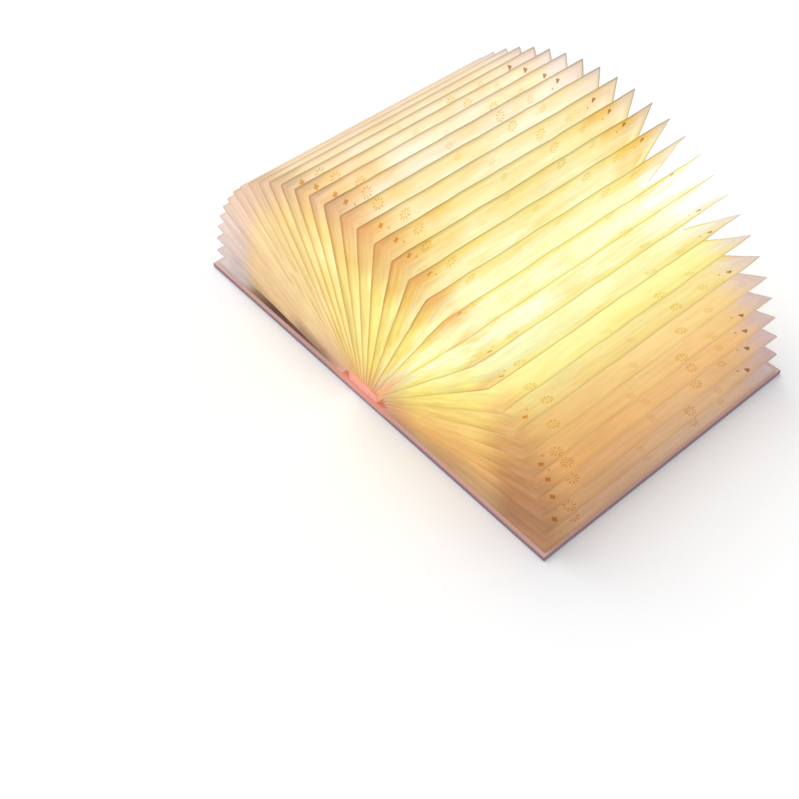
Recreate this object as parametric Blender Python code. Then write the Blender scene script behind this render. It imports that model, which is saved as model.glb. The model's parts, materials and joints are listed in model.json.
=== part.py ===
"""Rechargeable reading light in the form of a cloth-covered book, lying open and flat.

Metres, +Z up. X runs from the front cover (left, -X) to the back cover (right, +X), Y runs along
the spine from tail to head, and the outer face of the open case lies on z = 0. The covers hinge on
the two long edges of the spine, where the covering cloth folds. Each page leaf hinges under the
light strip, and its place is a share of the way from the middle of the book to a cover.
"""

import math

import bmesh
import bpy
from mathutils import Matrix

# The book as a whole
COVER_WIDTH = 0.125  # hinge line to fore edge
COVER_HEIGHT = 0.180  # tail to head
CLOSED_THICKNESS = 0.030  # outside to outside of the shut book
GLUE_GAP = 0.0001  # between glued layers
RUNNING_GAP = 0.0003  # between pieces that move past each other, or are pushed together

# The case: board, covering cloth, lining
CLOTH = 0.00035
BOARD = 0.0020
LINING = 0.0003
CLOTH_TURN_IN = 0.0065  # how far the cloth folds over onto the inner face
EDGE_RADIUS = 0.0008  # of the cloth round a board's fore edge
MAGNET_RADIUS = 0.004
MAGNET_THICKNESS = 0.0012
MAGNET_INSET = 0.012  # magnet's centre from the fore edge

# The pleated pages
LEAF_COUNT = 32
LEAF = 0.0005  # one fold of the paper, two sheets thick
END_PANEL = 0.0003  # the half pleat pasted to each cover
PAGE_MARGIN = 0.0025  # cover edge to paper at head and tail
FORE_MARGIN = 0.0020  # the same at the fore edge
LEAF_SEAT = 0.0005  # inner edge of a leaf above the light housing

# The light housing on the spine
HOUSING_TAPE = 0.0002
HOUSING_WALL = 0.0010
HOUSING_BASE = 0.0008
SLOT_WIDTH = 0.009  # the window that the diffuser fills
SLOT_BEHIND_SOCKET = 0.0045
DIFFUSER = 0.0012
CHIP_COUNT = 12
CHIP_LENGTH = 0.0035
CHIP_WIDTH = 0.0028
CHIP_HEIGHT = 0.0005
LED_BOARD = 0.0008
LED_BOARD_WIDTH = 0.012
CHIP_SINK = 0.0002  # a chip's solder feet in the board

# Power
CELL_LENGTH = 0.090
CELL_WIDTH = 0.018
CELL = 0.0030
CELL_TAPE = 0.00015
CELL_TO_BOARD = 0.0125  # bridged by the leads
CHARGE_BOARD_LENGTH = 0.032
CHARGE_BOARD_WIDTH = 0.017
CHARGE_BOARD = 0.0010
CHARGE_BOARD_FROM_HEAD = 0.0015  # housing head end to board
SENSOR_LENGTH = 0.0030
SENSOR_WIDTH = 0.0016
SENSOR_HEIGHT = 0.0011
SENSOR_SIDE = 0.005  # sensor from the middle line
SENSOR_BACK = 0.020  # sensor from the board's head edge
SOCKET_WIDTH = 0.0089
SOCKET_HEIGHT = 0.0032
SOCKET_DEPTH = 0.0074
SOCKET_WALL = 0.0003
SOCKET_BACK = 0.0010
TONGUE_WIDTH = 0.0066
TONGUE_HEIGHT = 0.0007
TONGUE_SHORT = 0.0008  # tongue's tip behind the mouth
INDICATOR_RADIUS = 0.0009
INDICATOR_LENGTH = 0.0045
INDICATOR_SIDE = 0.0067  # light pipe from the middle line
LEAD_RADIUS = 0.0005
LEAD_SIDE = 0.0030  # each battery lead from the middle line
LEAD_OVER_BOARD = 0.004  # length of a lead that lies over the charge board

# One length that every cut may run past a face
OVERRUN = 0.0005

# Worked out from the sizes above
HINGE_X = CLOSED_THICKNESS / 2
CASE_THICKNESS = CLOTH + GLUE_GAP + BOARD + GLUE_GAP + CLOTH
HINGE_ALLOWANCE = CASE_THICKNESS + RUNNING_GAP  # hinge line to a board's edge
BOARD_BOTTOM = CLOTH + GLUE_GAP
BOARD_TOP = BOARD_BOTTOM + BOARD
LINING_BOTTOM = BOARD_TOP + GLUE_GAP
PANEL_BOTTOM = CASE_THICKNESS + GLUE_GAP
PANEL_TOP = PANEL_BOTTOM + END_PANEL
HALF_HEIGHT = COVER_HEIGHT / 2
HALF_PAGE = HALF_HEIGHT - PAGE_MARGIN
SPINE_HALF = HINGE_X - HINGE_ALLOWANCE
LEAF_TIP = COVER_WIDTH - FORE_MARGIN
HOUSING_HALF = HINGE_X - PANEL_TOP - RUNNING_GAP
HOUSING_BOTTOM = PANEL_BOTTOM + HOUSING_TAPE + GLUE_GAP
BASE_TOP = HOUSING_BOTTOM + HOUSING_BASE
CELL_BOTTOM = BASE_TOP + GLUE_GAP + CELL_TAPE + GLUE_GAP
CELL_TOP = CELL_BOTTOM + CELL
LED_BOARD_BOTTOM = CELL_TOP + CELL_TAPE
LED_BOARD_TOP = LED_BOARD_BOTTOM + LED_BOARD
DIFFUSER_BOTTOM = LED_BOARD_TOP + CHIP_HEIGHT + GLUE_GAP
HOUSING_TOP = DIFFUSER_BOTTOM + DIFFUSER
CHARGE_BOARD_BOTTOM = BASE_TOP + GLUE_GAP
CHARGE_BOARD_TOP = CHARGE_BOARD_BOTTOM + CHARGE_BOARD
CHARGE_BOARD_HEAD = HALF_PAGE - CHARGE_BOARD_FROM_HEAD
CHARGE_BOARD_TAIL = CHARGE_BOARD_HEAD - CHARGE_BOARD_LENGTH
SLOT_HALF_LENGTH = HALF_PAGE - SOCKET_DEPTH - SLOT_BEHIND_SOCKET
SOCKET_BOTTOM = CHARGE_BOARD_TOP + GLUE_GAP
SOCKET_MIDDLE = SOCKET_BOTTOM + SOCKET_HEIGHT / 2
CELL_HEAD = CHARGE_BOARD_TAIL - CELL_TO_BOARD
CELL_TAIL = CELL_HEAD - CELL_LENGTH

CROWN_STEPS = 12
ROUND_STEPS = 24
LEAD_STEPS = 8
EDGE_STEPS = 3


def clear_scene():
    for obj in list(bpy.data.objects):
        bpy.data.objects.remove(obj, do_unlink=True)


def finish(name, colour, roughness, metallic=0.0):
    material = bpy.data.materials.new(name)
    material.use_nodes = True
    shader = material.node_tree.nodes["Principled BSDF"]
    shader.inputs["Base Color"].default_value = (*colour, 1.0)
    shader.inputs["Roughness"].default_value = roughness
    shader.inputs["Metallic"].default_value = metallic
    return material


def add(name, shape, material, parent=None):
    """Turns a bmesh into a named object with outward faces, and frees the bmesh."""
    bmesh.ops.recalc_face_normals(shape, faces=shape.faces)
    mesh = bpy.data.meshes.new(name)
    shape.to_mesh(mesh)
    shape.free()
    if material:
        mesh.materials.append(material)
    obj = bpy.data.objects.new(name, mesh)
    bpy.context.scene.collection.objects.link(obj)
    obj.parent = parent
    return obj


def prism(name, outline, y_span, material=None, parent=None):
    """A solid whose (x, z) outline runs along Y."""
    shape = bmesh.new()
    near, far = y_span
    face = shape.faces.new([shape.verts.new((x, near, z)) for x, z in outline])
    made = bmesh.ops.extrude_face_region(shape, geom=[face])["geom"]
    ends = [item for item in made if isinstance(item, bmesh.types.BMVert)]
    bmesh.ops.translate(shape, verts=ends, vec=(0, far - near, 0))
    return add(name, shape, material, parent)


def slab(name, x_span, y_span, z_span, material=None, parent=None):
    left, right = x_span
    low, high = z_span
    outline = [(left, low), (right, low), (right, high), (left, high)]
    return prism(name, outline, y_span, material, parent)


def drum(name, radius, length, middle, along_y, material=None, parent=None):
    """A round bar about Z, or about Y where along_y is true, centred on a point."""
    shape = bmesh.new()
    turn = Matrix.Rotation(math.pi / 2, 4, "X") if along_y else Matrix.Identity(4)
    bmesh.ops.create_cone(
        shape, cap_ends=True, segments=ROUND_STEPS, radius1=radius, radius2=radius,
        depth=length, matrix=Matrix.Translation(middle) @ turn,
    )
    obj = add(name, shape, material, parent)
    obj.data.shade_smooth()
    obj.data.set_sharp_from_angle(angle=math.radians(40))
    return obj


def apply_tool(target, tool, operation="DIFFERENCE"):
    """Cuts a helper solid out of a piece, or joins it on. The helper is placed as the piece is."""
    modifier = target.modifiers.new(tool.name, "BOOLEAN")
    modifier.operation = operation
    modifier.object = tool
    modifier.solver = "EXACT"
    tool.parent = target
    tool.hide_render = True
    tool.display_type = "WIRE"


def empty(name, location, turn=0.0):
    obj = bpy.data.objects.new(name, None)
    obj.location = location
    obj.rotation_euler = (0, 0, turn)
    bpy.context.scene.collection.objects.link(obj)
    return obj


def quarter_round(centre, radius, start):
    """Points of a quarter circle, starting at an angle in quarter turns."""
    x, z = centre
    angles = [(start + step / EDGE_STEPS) * math.pi / 2 for step in range(EDGE_STEPS + 1)]
    return [(x + radius * math.cos(a), z + radius * math.sin(a)) for a in angles]


def rounded_outline(x_span, z_span, radius):
    left, right = x_span
    low, high = z_span
    return (
        quarter_round((right - radius, low + radius), radius, 3)
        + quarter_round((right - radius, high - radius), radius, 0)
        + quarter_round((left + radius, high - radius), radius, 1)
        + quarter_round((left + radius, low + radius), radius, 2)
    )


# The case


def cover_cloth(name, hinge, material):
    """Cloth round a cover board: mitred at the hinge line, folded over the other three edges."""
    fore = COVER_WIDTH
    bottom = (fore - EDGE_RADIUS, EDGE_RADIUS)
    top = (fore - EDGE_RADIUS, CASE_THICKNESS - EDGE_RADIUS)
    outline = [(GLUE_GAP / 2, 0)]
    outline += quarter_round(bottom, EDGE_RADIUS, 3)
    outline += quarter_round(top, EDGE_RADIUS, 0)
    outline += [(HINGE_ALLOWANCE, CASE_THICKNESS), (HINGE_ALLOWANCE, CLOTH), (CLOTH + GLUE_GAP / 2, CLOTH)]
    cloth = prism(name, outline, (-HALF_HEIGHT, HALF_HEIGHT), material, hinge)
    inner = HALF_HEIGHT - CLOTH
    pocket = slab(
        name + "_pocket", (HINGE_ALLOWANCE - OVERRUN, fore - CLOTH), (-inner, inner),
        (CLOTH, CASE_THICKNESS - CLOTH),
    )
    apply_tool(cloth, pocket)
    inner = HALF_HEIGHT - CLOTH_TURN_IN
    window = slab(
        name + "_window", (HINGE_ALLOWANCE - OVERRUN, fore - CLOTH_TURN_IN), (-inner, inner),
        (CASE_THICKNESS - CLOTH - OVERRUN, CASE_THICKNESS + OVERRUN),
    )
    apply_tool(cloth, window)
    return cloth


def spine_cloth(material):
    """The same cloth across the spine, mitred at both hinge lines and folded over at head and tail."""
    edge = HINGE_X - GLUE_GAP / 2
    half = [(edge, 0), (edge - CLOTH, CLOTH), (SPINE_HALF, CLOTH), (SPINE_HALF, CASE_THICKNESS)]
    outline = half + [(-x, z) for x, z in reversed(half)]
    cloth = prism("spine_cloth", outline, (-HALF_HEIGHT, HALF_HEIGHT), material)
    inner = HALF_HEIGHT - CLOTH
    across = (-SPINE_HALF - OVERRUN, SPINE_HALF + OVERRUN)
    apply_tool(cloth, slab("spine_pocket", across, (-inner, inner), (CLOTH, CASE_THICKNESS - CLOTH)))
    inner = HALF_HEIGHT - CLOTH_TURN_IN
    height = (CASE_THICKNESS - CLOTH - OVERRUN, CASE_THICKNESS + OVERRUN)
    apply_tool(cloth, slab("spine_window", across, (-inner, inner), height))


def cover(side, hinge, cloth, board, lining, paper, steel):
    """One cover with all that is glued to it, measured outwards from its hinge line."""
    cover_cloth(side + "_cloth", hinge, cloth)
    fore = COVER_WIDTH - CLOTH - GLUE_GAP
    edge = HALF_HEIGHT - CLOTH - GLUE_GAP
    stiff = slab(
        side + "_board", (HINGE_ALLOWANCE, fore), (-edge, edge), (BOARD_BOTTOM, BOARD_TOP), board, hinge
    )
    magnet_x = COVER_WIDTH - MAGNET_INSET
    pocket_depth = MAGNET_THICKNESS + GLUE_GAP
    pocket_length = pocket_depth + OVERRUN
    pocket_middle = (magnet_x, 0, BOARD_TOP - pocket_depth + pocket_length / 2)
    pocket = drum(
        side + "_magnet_pocket", MAGNET_RADIUS + GLUE_GAP, pocket_length, pocket_middle, False
    )
    apply_tool(stiff, pocket)
    magnet_middle = (magnet_x, 0, BOARD_TOP - MAGNET_THICKNESS / 2)
    drum(side + "_magnet", MAGNET_RADIUS, MAGNET_THICKNESS, magnet_middle, False, steel, hinge)
    fore = COVER_WIDTH - CLOTH_TURN_IN - GLUE_GAP
    edge = HALF_HEIGHT - CLOTH_TURN_IN - GLUE_GAP
    slab(
        side + "_lining", (HINGE_ALLOWANCE, fore), (-edge, edge),
        (LINING_BOTTOM, LINING_BOTTOM + LINING), lining, hinge,
    )
    slab(
        side + "_end_panel", (HINGE_ALLOWANCE, LEAF_TIP), (-HALF_PAGE, HALF_PAGE),
        (PANEL_BOTTOM, PANEL_TOP), paper, hinge,
    )


def spine(cloth, board, lining, tape):
    spine_cloth(cloth)
    edge = HALF_HEIGHT - CLOTH - GLUE_GAP
    slab("spine_board", (-SPINE_HALF, SPINE_HALF), (-edge, edge), (BOARD_BOTTOM, BOARD_TOP), board)
    edge = HALF_HEIGHT - CLOTH_TURN_IN - GLUE_GAP
    slab(
        "spine_lining", (-SPINE_HALF, SPINE_HALF), (-edge, edge),
        (LINING_BOTTOM, LINING_BOTTOM + LINING), lining,
    )
    half = HOUSING_HALF - HOUSING_WALL
    height = (PANEL_BOTTOM, PANEL_BOTTOM + HOUSING_TAPE)
    slab("housing_tape", (-half, half), (-HALF_PAGE, HALF_PAGE), height, tape)


# The pages


def crown_height(x, top):
    """Height of the housing's round top, whose radius follows the inner edges of the open leaves."""
    root = HOUSING_TOP + LEAF_SEAT
    reach = HINGE_X - PANEL_TOP + root * math.pi / 2
    drop = root * math.pi**2 / 8 - PANEL_TOP * math.pi / 2
    radius = reach**2 / (2 * drop)
    return top - radius + math.sqrt(radius**2 - x**2)


def page_leaf(number, paper):
    """One fold of the pleated paper, hinged under the light strip at its share of the way to a cover."""
    share = (2 * number - LEAF_COUNT - 1) / (LEAF_COUNT + 1)
    offset = PANEL_TOP * abs(share)
    shut_x = (HINGE_X - PANEL_TOP) * abs(share)
    root = crown_height(shut_x, HOUSING_TOP) + LEAF_SEAT
    leaf = slab(
        f"page_leaf_{number:02d}", (root, LEAF_TIP), (-HALF_PAGE, HALF_PAGE),
        (offset - LEAF / 2, offset + LEAF / 2), paper,
    )
    leaf.location = (HINGE_X * share, 0, 0)
    lift = (1 - abs(share)) * math.pi / 2
    leaf.rotation_euler = (0, -lift, 0 if share > 0 else math.pi)


# The light strip and its housing


def crown(half_width, top):
    """(x, z) points across the crowned top, from right to left."""
    places = [half_width * (1 - 2 * step / CROWN_STEPS) for step in range(CROWN_STEPS + 1)]
    return [(x, crown_height(x, top)) for x in places]


def arch(half_width, bottom, top):
    return [(-half_width, bottom), (half_width, bottom)] + crown(half_width, top)


def light_housing(plastic):
    """A moulded channel, open below, with a window on top and the socket's mouth at the head."""
    outside = arch(HOUSING_HALF, HOUSING_BOTTOM, HOUSING_TOP)
    housing = prism("led_housing", outside, (-HALF_PAGE, HALF_PAGE), plastic)
    inner = HALF_PAGE - HOUSING_WALL
    hollow = arch(HOUSING_HALF - HOUSING_WALL, HOUSING_BOTTOM - OVERRUN, HOUSING_TOP - HOUSING_WALL)
    apply_tool(housing, prism("housing_hollow", hollow, (-inner, inner)))
    half = SLOT_WIDTH / 2
    height = (HOUSING_TOP - HOUSING_WALL - OVERRUN, HOUSING_TOP + OVERRUN)
    apply_tool(housing, slab("housing_slot", (-half, half), (-SLOT_HALF_LENGTH, SLOT_HALF_LENGTH), height))
    half = SOCKET_WIDTH / 2 + GLUE_GAP
    bottom = SOCKET_BOTTOM - GLUE_GAP
    mouth = rounded_outline((-half, half), (bottom, bottom + SOCKET_HEIGHT + 2 * GLUE_GAP), SOCKET_HEIGHT / 2)
    through = (HALF_PAGE - HOUSING_WALL - OVERRUN, HALF_PAGE + OVERRUN)
    apply_tool(housing, prism("housing_mouth", mouth, through))
    length = HOUSING_WALL + 2 * OVERRUN
    middle = (INDICATOR_SIDE, HALF_PAGE - HOUSING_WALL / 2, SOCKET_MIDDLE)
    apply_tool(housing, drum("indicator_hole", INDICATOR_RADIUS + GLUE_GAP, length, middle, True))


def housing_base(plastic):
    """The flat plate that closes the channel below."""
    half = HOUSING_HALF - HOUSING_WALL - GLUE_GAP
    edge = HALF_PAGE - HOUSING_WALL - GLUE_GAP
    slab("housing_base", (-half, half), (-edge, edge), (HOUSING_BOTTOM, BASE_TOP), plastic)


def diffuser(frosted):
    half = SLOT_WIDTH / 2 - GLUE_GAP
    edge = SLOT_HALF_LENGTH - GLUE_GAP
    prism("led_diffuser", arch(half, DIFFUSER_BOTTOM, HOUSING_TOP), (-edge, edge), frosted)


def led_strip(green_board):
    """The long circuit board with its row of light chips soldered on."""
    half = LED_BOARD_WIDTH / 2
    strip = slab(
        "led_strip", (-half, half), (-SLOT_HALF_LENGTH, SLOT_HALF_LENGTH),
        (LED_BOARD_BOTTOM, LED_BOARD_TOP), green_board,
    )
    shape = bmesh.new()
    pitch = 2 * SLOT_HALF_LENGTH / CHIP_COUNT
    height = CHIP_HEIGHT + CHIP_SINK
    for chip in range(CHIP_COUNT):
        middle = (0, (chip + 0.5) * pitch - SLOT_HALF_LENGTH, LED_BOARD_TOP - CHIP_SINK + height / 2)
        size = Matrix.Diagonal((CHIP_WIDTH, CHIP_LENGTH, height, 1))
        bmesh.ops.create_cube(shape, size=1, matrix=Matrix.Translation(middle) @ size)
    apply_tool(strip, add("led_chips", shape, None), "UNION")


# Power


def battery(foil, tape):
    half = CELL_WIDTH / 2
    outline = rounded_outline((-half, half), (CELL_BOTTOM, CELL_TOP), EDGE_RADIUS)
    prism("battery_cell", outline, (CELL_TAIL, CELL_HEAD), foil)
    height = (BASE_TOP + GLUE_GAP, BASE_TOP + GLUE_GAP + CELL_TAPE)
    slab("battery_tape", (-half, half), (CELL_TAIL, CELL_HEAD), height, tape)


def charge_electronics(green_board, black, steel, lens):
    half = CHARGE_BOARD_WIDTH / 2
    length = (CHARGE_BOARD_TAIL, CHARGE_BOARD_HEAD)
    slab("charge_board", (-half, half), length, (CHARGE_BOARD_BOTTOM, CHARGE_BOARD_TOP), green_board)
    middle = CHARGE_BOARD_HEAD - SENSOR_BACK
    bottom = CHARGE_BOARD_TOP + GLUE_GAP
    slab(
        "hall_sensor", (-SENSOR_SIDE - SENSOR_WIDTH, -SENSOR_SIDE),
        (middle - SENSOR_LENGTH / 2, middle + SENSOR_LENGTH / 2), (bottom, bottom + SENSOR_HEIGHT), black,
    )
    middle = (INDICATOR_SIDE, HALF_PAGE - INDICATOR_LENGTH / 2, SOCKET_MIDDLE)
    drum("charge_indicator", INDICATOR_RADIUS, INDICATOR_LENGTH, middle, True, lens)
    usb_socket(steel)


def usb_socket(steel):
    """A rounded steel shell with a blind mouth at the head end and a thin tongue inside."""
    half = SOCKET_WIDTH / 2
    height = (SOCKET_BOTTOM, SOCKET_BOTTOM + SOCKET_HEIGHT)
    back = HALF_PAGE - SOCKET_DEPTH
    shell = rounded_outline((-half, half), height, SOCKET_HEIGHT / 2 - GLUE_GAP)
    socket = prism("usb_socket", shell, (back, HALF_PAGE), steel)
    half -= SOCKET_WALL
    height = (SOCKET_BOTTOM + SOCKET_WALL, SOCKET_BOTTOM + SOCKET_HEIGHT - SOCKET_WALL)
    bore = rounded_outline((-half, half), height, SOCKET_HEIGHT / 2 - GLUE_GAP - SOCKET_WALL)
    apply_tool(socket, prism("socket_bore", bore, (back + SOCKET_BACK, HALF_PAGE + OVERRUN)))
    half = TONGUE_WIDTH / 2
    height = (SOCKET_MIDDLE - TONGUE_HEIGHT / 2, SOCKET_MIDDLE + TONGUE_HEIGHT / 2)
    length = (back + SOCKET_BACK / 2, HALF_PAGE - TONGUE_SHORT)
    apply_tool(socket, slab("socket_tongue", (-half, half), length, height), "UNION")


def battery_lead(name, x, insulation):
    """A short insulated wire from the cell's end to the charge board."""
    start = (CELL_HEAD + RUNNING_GAP, (CELL_BOTTOM + CELL_TOP) / 2)
    end = (CHARGE_BOARD_TAIL + LEAD_OVER_BOARD, CHARGE_BOARD_TOP + GLUE_GAP + LEAD_RADIUS)
    curve = bpy.data.curves.new(name, "CURVE")
    curve.dimensions = "3D"
    curve.bevel_depth = LEAD_RADIUS
    curve.bevel_resolution = 1
    curve.use_fill_caps = True
    line = curve.splines.new("POLY")
    line.points.add(LEAD_STEPS)
    for step, point in enumerate(line.points):
        along = step / LEAD_STEPS
        eased = along * along * (3 - 2 * along)
        y = start[0] + (end[0] - start[0]) * along
        z = start[1] + (end[1] - start[1]) * eased
        point.co = (x, y, z, 1)
    curve.materials.append(insulation)
    obj = bpy.data.objects.new(name, curve)
    bpy.context.scene.collection.objects.link(obj)


def build():
    clear_scene()
    cloth = finish("rose_cloth", (0.42, 0.26, 0.27), 0.7)
    board = finish("grey_board", (0.35, 0.33, 0.30), 0.9)
    lining = finish("rose_lining", (0.58, 0.42, 0.42), 0.8)
    paper = finish("page_paper", (0.86, 0.84, 0.82), 0.7)
    plastic = finish("rose_plastic", (0.72, 0.38, 0.34), 0.5)
    frosted = finish("frosted_diffuser", (0.95, 0.90, 0.78), 0.4)
    green_board = finish("circuit_board", (0.05, 0.22, 0.10), 0.5)
    foil = finish("cell_foil", (0.70, 0.71, 0.73), 0.35, 0.8)
    tape = finish("white_tape", (0.80, 0.80, 0.78), 0.8)
    steel = finish("plated_steel", (0.65, 0.65, 0.66), 0.3, 1.0)
    black = finish("black_plastic", (0.02, 0.02, 0.02), 0.5)
    lens = finish("indicator_lens", (0.85, 0.85, 0.85), 0.3)
    red = finish("red_insulation", (0.55, 0.03, 0.02), 0.5)

    front_hinge = empty("front_hinge", (-HINGE_X, 0, 0), math.pi)
    back_hinge = empty("back_hinge", (HINGE_X, 0, 0))
    for side, hinge in (("front", front_hinge), ("back", back_hinge)):
        cover(side, hinge, cloth, board, lining, paper, steel)
    spine(cloth, board, lining, tape)
    for number in range(1, LEAF_COUNT + 1):
        page_leaf(number, paper)
    light_housing(plastic)
    housing_base(plastic)
    diffuser(frosted)
    led_strip(green_board)
    battery(foil, tape)
    charge_electronics(green_board, black, steel, lens)
    battery_lead("battery_lead_positive", LEAD_SIDE, red)
    battery_lead("battery_lead_negative", -LEAD_SIDE, black)


build()
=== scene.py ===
"""A rechargeable reading light bound as a book, lying open, flat and lit.

Metres, +Z up. X runs from the front cover (left) to the back cover (right) and Y along the spine
from tail to head. The outer face of the open case lies on z = 0.
"""

import json
import math
import random

import bmesh
import bpy
from mathutils import Matrix, Vector


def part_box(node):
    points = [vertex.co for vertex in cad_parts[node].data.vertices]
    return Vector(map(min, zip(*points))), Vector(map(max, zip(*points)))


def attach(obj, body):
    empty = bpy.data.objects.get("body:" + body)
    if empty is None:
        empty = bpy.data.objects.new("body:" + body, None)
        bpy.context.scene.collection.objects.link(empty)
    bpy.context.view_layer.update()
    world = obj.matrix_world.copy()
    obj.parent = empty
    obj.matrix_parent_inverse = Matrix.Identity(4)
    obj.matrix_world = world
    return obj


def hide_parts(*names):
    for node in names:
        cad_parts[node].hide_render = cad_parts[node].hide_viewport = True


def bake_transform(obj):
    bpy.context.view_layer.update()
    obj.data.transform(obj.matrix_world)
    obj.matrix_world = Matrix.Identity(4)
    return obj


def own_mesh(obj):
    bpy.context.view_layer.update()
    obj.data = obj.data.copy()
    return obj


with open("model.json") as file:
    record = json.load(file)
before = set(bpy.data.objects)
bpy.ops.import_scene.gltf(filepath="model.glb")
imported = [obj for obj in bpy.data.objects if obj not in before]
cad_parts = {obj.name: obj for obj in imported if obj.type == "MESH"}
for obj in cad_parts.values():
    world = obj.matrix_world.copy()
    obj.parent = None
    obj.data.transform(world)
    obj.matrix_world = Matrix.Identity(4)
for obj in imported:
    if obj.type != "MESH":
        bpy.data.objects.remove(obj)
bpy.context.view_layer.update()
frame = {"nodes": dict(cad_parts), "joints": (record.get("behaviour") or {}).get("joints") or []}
nodes = frame["nodes"]

# The camera
# A long lens above the right tail corner of the open light, as in the photograph.
LENS = 52.4
CAMERA_PLACE = (0.3358, -0.3258, 0.4777)
CAMERA_HEADING = 51.94  # degrees from +Y towards -X
CAMERA_PITCH = 49.58  # degrees below level
CAMERA_ROLL = -3.08
camera_data = bpy.data.cameras.new("camera")
camera_data.lens = LENS
camera_data.sensor_width = 36
camera_data.clip_start = 0.01
camera_data.clip_end = 20
camera = bpy.data.objects.new("camera", camera_data)
bpy.context.scene.collection.objects.link(camera)
camera.matrix_world = (
    Matrix.Translation(CAMERA_PLACE)
    @ Matrix.Rotation(math.radians(CAMERA_HEADING), 4, "Z")
    @ Matrix.Rotation(math.radians(90 - CAMERA_PITCH), 4, "X")
    @ Matrix.Rotation(math.radians(CAMERA_ROLL), 4, "Z")
)
bpy.context.scene.camera = camera
bpy.context.scene.view_settings.view_transform = "Standard"


# The table and the studio
# A white table that keeps a soft shadow, one broad lamp high on the front cover's side and an even
# white surround. Finishes are written with the two classes below, here and in every later section.


def seen(red, green, blue):
    """A colour as it looks on a screen, 0 to 255, turned into the amounts that a shader takes."""
    parts = [part / 255 for part in (red, green, blue)]
    return tuple(p / 12.92 if p <= 0.04045 else ((p + 0.055) / 1.055) ** 2.4 for p in parts)


class Wire:
    """The end of a node in a finish. Sums written on it add nodes."""

    def __init__(self, finish, socket):
        self.finish = finish
        self.socket = socket

    def wide(self):
        return self.socket.type in ("VECTOR", "RGBA")

    def sum(self, operation, *others, turned=False):
        parts = [self, *others]
        if turned:
            parts.reverse()
        wide = any(isinstance(p, tuple) or (isinstance(p, Wire) and p.wide()) for p in parts)
        kind = "ShaderNodeVectorMath" if wide else "ShaderNodeMath"
        return self.finish.node(kind, {"operation": operation}, dict(enumerate(parts)))

    def __add__(self, other):
        return self.sum("ADD", other)

    __radd__ = __add__

    def __sub__(self, other):
        return self.sum("SUBTRACT", other)

    def __rsub__(self, other):
        return self.sum("SUBTRACT", other, turned=True)

    def __mul__(self, other):
        return self.sum("MULTIPLY", other)

    __rmul__ = __mul__

    def __truediv__(self, other):
        return self.sum("DIVIDE", other)

    def __pow__(self, other):
        return self.sum("POWER", other)

    def __neg__(self):
        return self * -1

    def __abs__(self):
        return self.sum("ABSOLUTE")

    def least(self, other):
        return self.sum("MINIMUM", other)

    def most(self, other):
        return self.sum("MAXIMUM", other)

    def rise(self, low, high):
        """0 below low, 1 above high, and a smooth climb between them."""
        settings = {"interpolation_type": "SMOOTHSTEP"}
        return self.finish.node("ShaderNodeMapRange", settings, {0: self, 1: low, 2: high, 3: 0.0, 4: 1.0})

    def fall(self, low, high):
        return 1 - self.rise(low, high)

    def line(self, middle, width, soft=0.12):
        """A stroke of this width where the value is middle. Its edges fade over soft."""
        return abs(self - middle).fall(width / 2 - soft / 2, width / 2 + soft / 2)

    def parts(self):
        node = self.finish.add("ShaderNodeSeparateXYZ", {}, {0: self})
        return [Wire(self.finish, output) for output in node.outputs]


class Finish:
    """A material in the making, with the Principled shader that it ends in."""

    def __init__(self, name, **constants):
        self.material = bpy.data.materials.new(name)
        self.material.use_nodes = True
        self.tree = self.material.node_tree
        self.shader = self.tree.nodes["Principled BSDF"]
        self.set(**constants)

    def add(self, kind, settings, sockets):
        node = self.tree.nodes.new(kind)
        for key, value in settings.items():
            if key == "stops":
                ramp = node.color_ramp
                while len(ramp.elements) < len(value):
                    ramp.elements.new(0.5)
                for element, (place, colour) in zip(ramp.elements, sorted(value)):
                    element.position = place
                    element.color = (*colour, 1)
            else:
                setattr(node, key, value)
        for key, value in sockets.items():
            socket = node.inputs[key]
            if isinstance(value, Wire):
                self.tree.links.new(value.socket, socket)
            elif socket.type == "RGBA":
                socket.default_value = (*value, 1)
            elif socket.type == "VECTOR" and not isinstance(value, tuple):
                socket.default_value = (value, value, value)
            else:
                socket.default_value = value
        return node

    def node(self, kind, settings=None, sockets=None, output=0):
        made = self.add(kind, settings or {}, sockets or {})
        return Wire(self, made.outputs[output])

    def set(self, **sockets):
        for key, value in sockets.items():
            socket = self.shader.inputs[key.replace("_", " ")]
            if isinstance(value, Wire):
                self.tree.links.new(value.socket, socket)
            elif isinstance(value, tuple):
                socket.default_value = (*value, 1) if socket.type == "RGBA" else value
            else:
                socket.default_value = value
        return self

    def place(self):
        """Where a point is on the object, in millimetres."""
        return self.node("ShaderNodeTexCoord", output="Object") * 1000

    def flat(self, name):
        """The named flat map, in millimetres."""
        return self.node("ShaderNodeUVMap", {"uv_map": name}) * 1000

    def mix(self, first, second, share):
        return self.node("ShaderNodeMix", {"data_type": "RGBA"}, {0: share, 6: first, 7: second}, output=2)

    def noise(self, place, per_mm, detail=2.0, roughness=0.5):
        sockets = {"Vector": place, "Scale": per_mm, "Detail": detail, "Roughness": roughness}
        return self.node("ShaderNodeTexNoise", {}, sockets)

    def bump(self, height, depth_mm, strength=1.0):
        sockets = {"Height": height, "Distance": depth_mm / 1000, "Strength": strength}
        return self.set(Normal=self.node("ShaderNodeBump", {}, sockets))


def lay(name, mesh, finish):
    """A finished mesh as an object with its material."""
    mesh.materials.append(finish.material)
    obj = bpy.data.objects.new(name, mesh)
    bpy.context.scene.collection.objects.link(obj)
    return obj


def coat(finish, *names):
    """Gives a carried-over node its material."""
    for name in names:
        node = nodes[name]
        node.data.materials.clear()
        node.data.materials.append(finish.material)


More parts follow.
